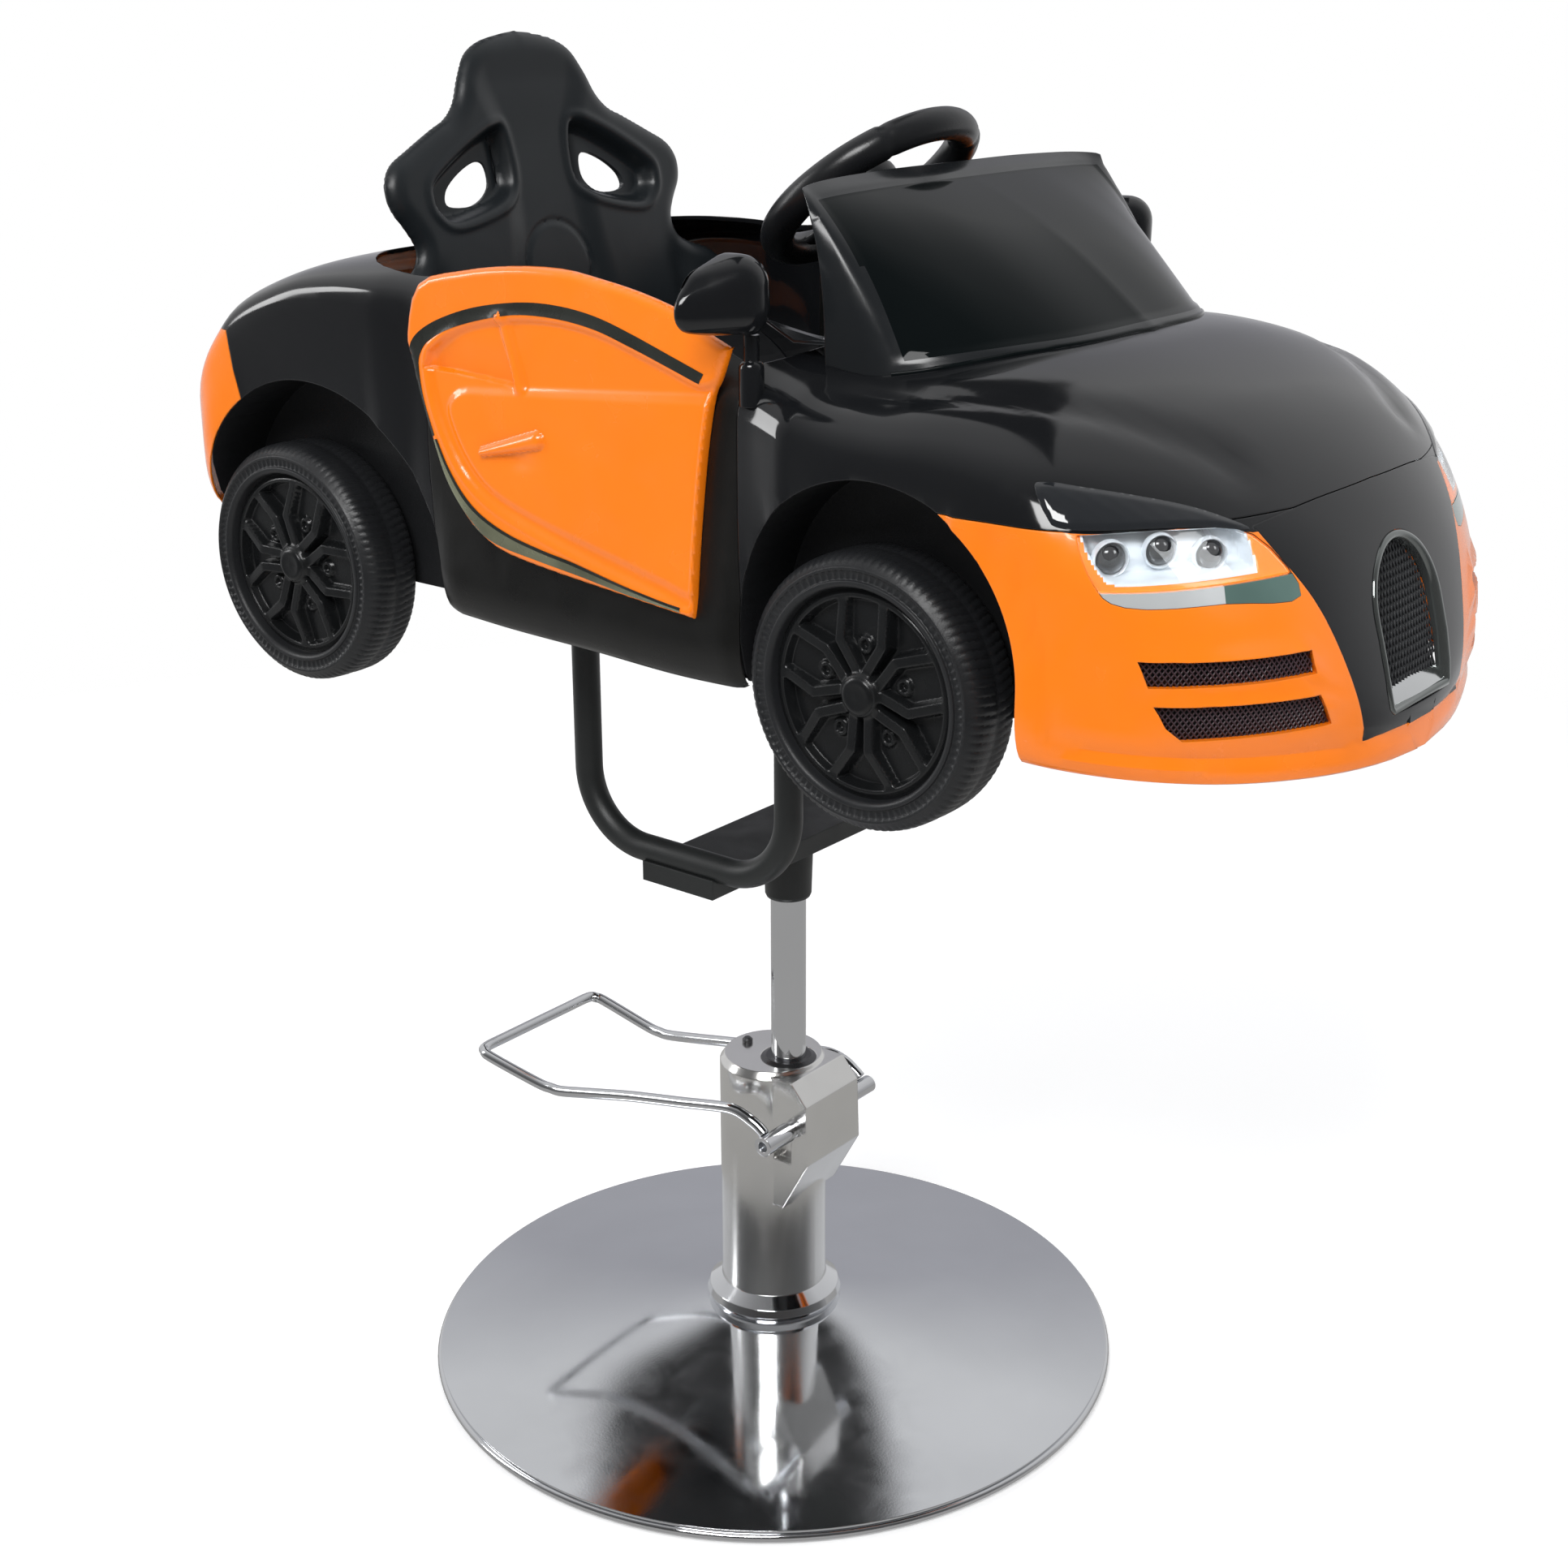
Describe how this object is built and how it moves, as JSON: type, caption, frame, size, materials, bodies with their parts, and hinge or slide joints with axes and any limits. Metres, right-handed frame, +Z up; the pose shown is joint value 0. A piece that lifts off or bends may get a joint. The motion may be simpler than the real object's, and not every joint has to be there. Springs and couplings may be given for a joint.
{
  "type": "kids car barber chair",
  "caption": "Child's salon chair shaped as an open sports car, held by a bent tube frame on a round hydraulic lift base with a foot pedal loop.",
  "frame": {"origin": "on the floor, on the axis of the lift rod, at the underside of the base plate", "axes": "+X towards the nose of the car, +Y to the car's left, +Z up along the lift rod"},
  "size_m": [1.0067, 0.6, 1.1133],
  "materials": {
    "chrome": "polished chrome plate",
    "brushed_steel": "brushed chromed steel",
    "grey_steel": "plain steel",
    "dark_steel": "blackened steel",
    "black_paint": "satin black powder coat",
    "satin_black": "satin moulded plastic",
    "gloss_black": "gloss moulded plastic",
    "orange": "gloss orange moulded plastic",
    "dark_mesh": "fine moulded mesh",
    "chrome_trim": "chrome plated plastic",
    "lamp_grey": "metallised plastic",
    "clear_lens": "clear plastic",
    "button_grey": "satin plastic",
    "wheel_black": "satin moulded plastic",
    "cover_black": "gloss moulded plastic"
  },
  "bodies": {
    "base": {"base_plate": "grey_steel", "base_cover": "chrome", "base_edge_ring": "chrome", "base_collar": "chrome", "pump_housing": "brushed_steel", "rod_bushing": "dark_steel", "filler_screw": "dark_steel", "base_bolts": "grey_steel"},
    "pedal": {"pedal_shaft": "brushed_steel", "pedal_loop": "chrome"},
    "piston": {"piston_head": "grey_steel"},
    "carrier": {"piston_rod": "chrome", "rod_socket": "black_paint", "cross_bar": "black_paint", "frame_tube_right": "black_paint", "frame_tube_left": "black_paint", "frame_straps": "black_paint", "frame_bolts": "dark_steel", "floor_pan": "satin_black", "front_axle": "chrome", "rear_axle": "chrome", "hub_nuts": "chrome", "well_front_right": "satin_black", "well_front_left": "satin_black", "well_rear_right": "satin_black", "well_rear_left": "satin_black", "front_body": "gloss_black", "side_right": "gloss_black", "side_left": "gloss_black", "rear_body": "gloss_black", "front_bumper": "orange", "rear_bumper": "orange", "nose_panel": "gloss_black", "grille_mesh": "dark_mesh", "grille_ring": "chrome_trim", "lamp_right": "lamp_grey", "lamp_left": "lamp_grey", "lenses": "clear_lens", "vent_mesh": "dark_mesh", "door_right": "orange", "door_left": "orange", "windshield": "gloss_black", "dashboard": "satin_black", "steering_column": "satin_black", "seat_back": "satin_black", "seat_base": "satin_black", "mirror_stalk_right": "gloss_black", "mirror_stalk_left": "gloss_black"},
    "steering": {"steering_wheel": "satin_black"},
    "horn": {"horn_button": "button_grey"},
    "mirror_r": {"mirror_right": "gloss_black"},
    "mirror_l": {"mirror_left": "gloss_black"},
    "wheel_fr": {"tyre_fr": "wheel_black", "cover_fr": "cover_black"},
    "wheel_fl": {"tyre_fl": "wheel_black", "cover_fl": "cover_black"},
    "wheel_rr": {"tyre_rr": "wheel_black", "cover_rr": "cover_black"},
    "wheel_rl": {"tyre_rl": "wheel_black", "cover_rl": "cover_black"}
  },
  "joints": [
    {"name": "lift", "type": "slide", "parent": "base", "child": "piston", "axis": [0, 0, 1], "range_m": [-0.14, 0.02]},
    {"name": "swivel", "type": "hinge", "parent": "piston", "child": "carrier", "pos_m": [0, 0, 0.19], "axis": [0, 0, 1], "continuous": true},
    {"name": "pedal_pivot", "type": "hinge", "parent": "base", "child": "pedal", "pos_m": [0.031, 0, 0.236], "axis": [0, -1, 0], "range_deg": [0, 25], "stiffness_Nm_per_rad": 6, "springref_deg": -17.19},
    {"name": "steering_turn", "type": "hinge", "parent": "carrier", "child": "steering", "pos_m": [0.078, 0, 1.012], "axis": [-0.6157, 0, 0.788], "range_deg": [-45, 45]},
    {"name": "horn_press", "type": "slide", "parent": "steering", "child": "horn", "axis": [0.6157, 0, -0.788], "range_m": [0, 0.003], "stiffness_N_per_m": 400, "springref_m": -0.002},
    {"name": "mirror_turn_right", "type": "hinge", "parent": "carrier", "child": "mirror_r", "pos_m": [0.154, -0.232, 0.94], "axis": [0, 0, 1], "range_deg": [-20, 20]},
    {"name": "mirror_turn_left", "type": "hinge", "parent": "carrier", "child": "mirror_l", "pos_m": [0.154, 0.232, 0.94], "axis": [0, 0, 1], "range_deg": [-20, 20]},
    {"name": "wheel_spin_fr", "type": "hinge", "parent": "carrier", "child": "wheel_fr", "pos_m": [0.2455, -0.21, 0.7117], "axis": [0, 1, 0], "continuous": true},
    {"name": "wheel_spin_fl", "type": "hinge", "parent": "carrier", "child": "wheel_fl", "pos_m": [0.2455, 0.21, 0.7117], "axis": [0, 1, 0], "continuous": true},
    {"name": "wheel_spin_rr", "type": "hinge", "parent": "carrier", "child": "wheel_rr", "pos_m": [-0.319, -0.21, 0.7117], "axis": [0, 1, 0], "continuous": true},
    {"name": "wheel_spin_rl", "type": "hinge", "parent": "carrier", "child": "wheel_rl", "pos_m": [-0.319, 0.21, 0.7117], "axis": [0, 1, 0], "continuous": true}
  ]
}
